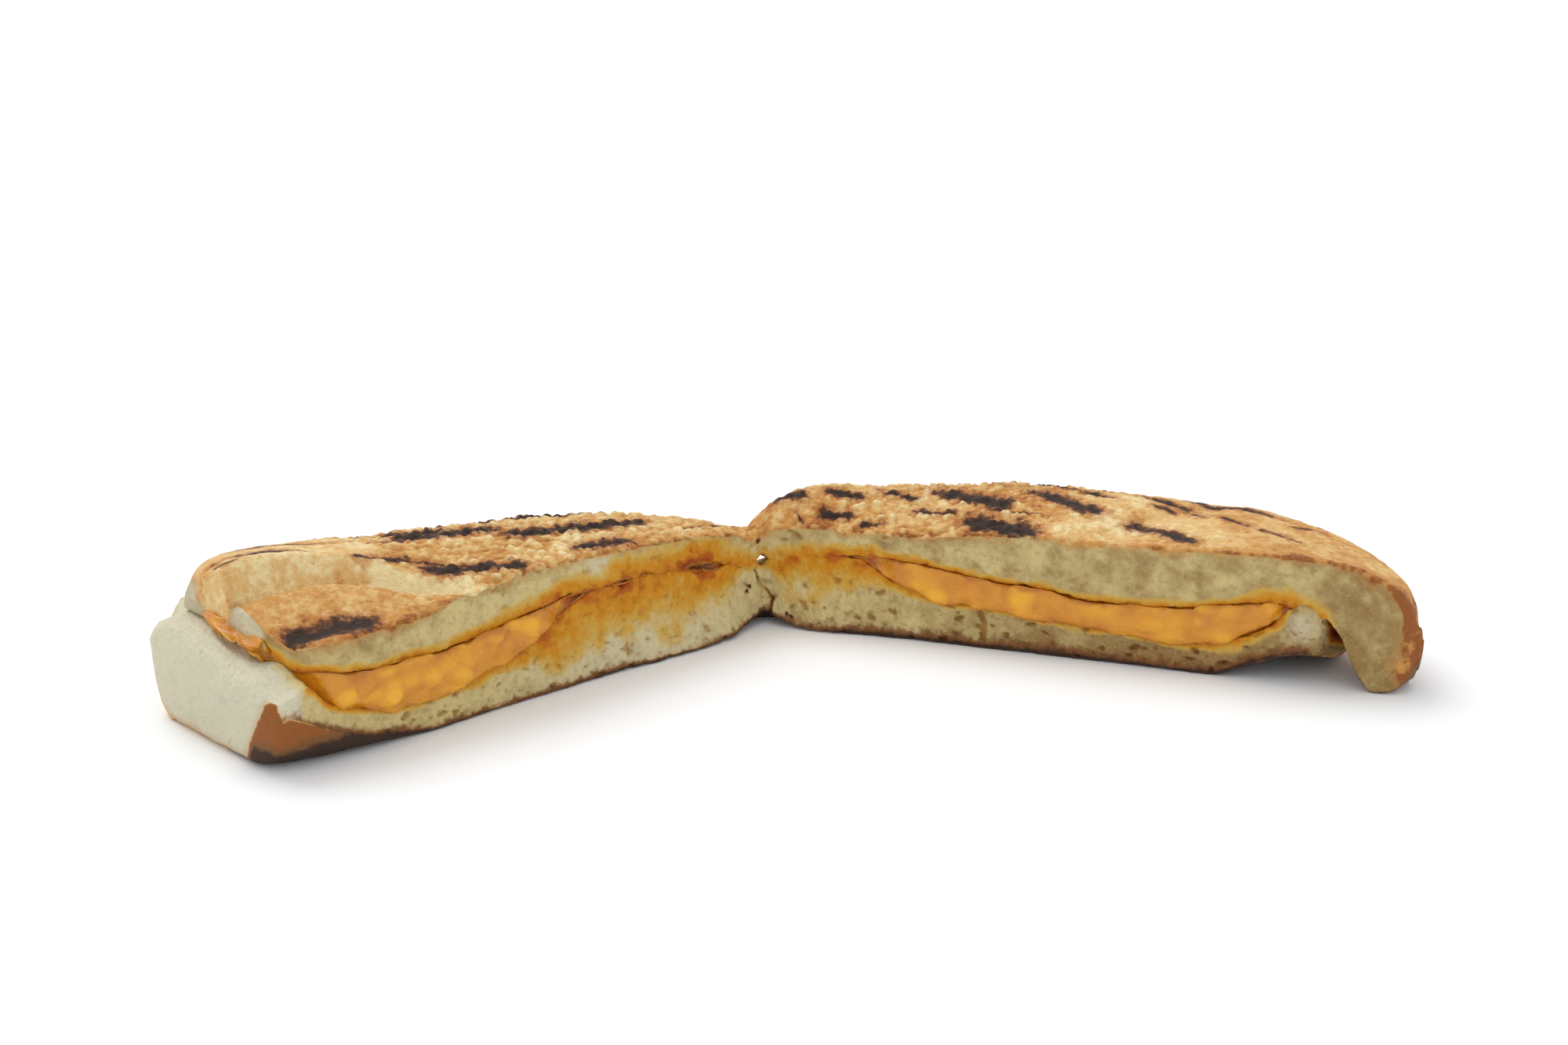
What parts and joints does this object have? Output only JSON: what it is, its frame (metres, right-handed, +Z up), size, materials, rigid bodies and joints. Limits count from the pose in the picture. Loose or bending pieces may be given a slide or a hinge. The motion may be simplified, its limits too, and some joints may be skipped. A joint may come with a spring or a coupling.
{
  "type": "grilled cheese sandwich",
  "caption": "Flat grilled roll with melted cheese, cut lengthwise almost to its far end and swung open in a V, both cut faces showing.",
  "frame": {"origin": "middle of the bounding box in plan, at the underside that rests on the table", "axes": "+X across the two arms, +Y towards the uncut hinge end, so the V opens towards -Y, +Z up"},
  "size_m": [0.3392, 0.1502, 0.0466],
  "materials": {
    "bread_top": "matt toasted crust over pale crumb",
    "bread_bottom": "matt pale crumb over a dark grilled crust",
    "cheese_melt": "oily satin melted cheese"
  },
  "bodies": {
    "root": {"top_bread": "bread_top", "bottom_bread": "bread_bottom", "cheese_left": "cheese_melt", "cheese_right": "cheese_melt"}
  },
  "joints": []
}
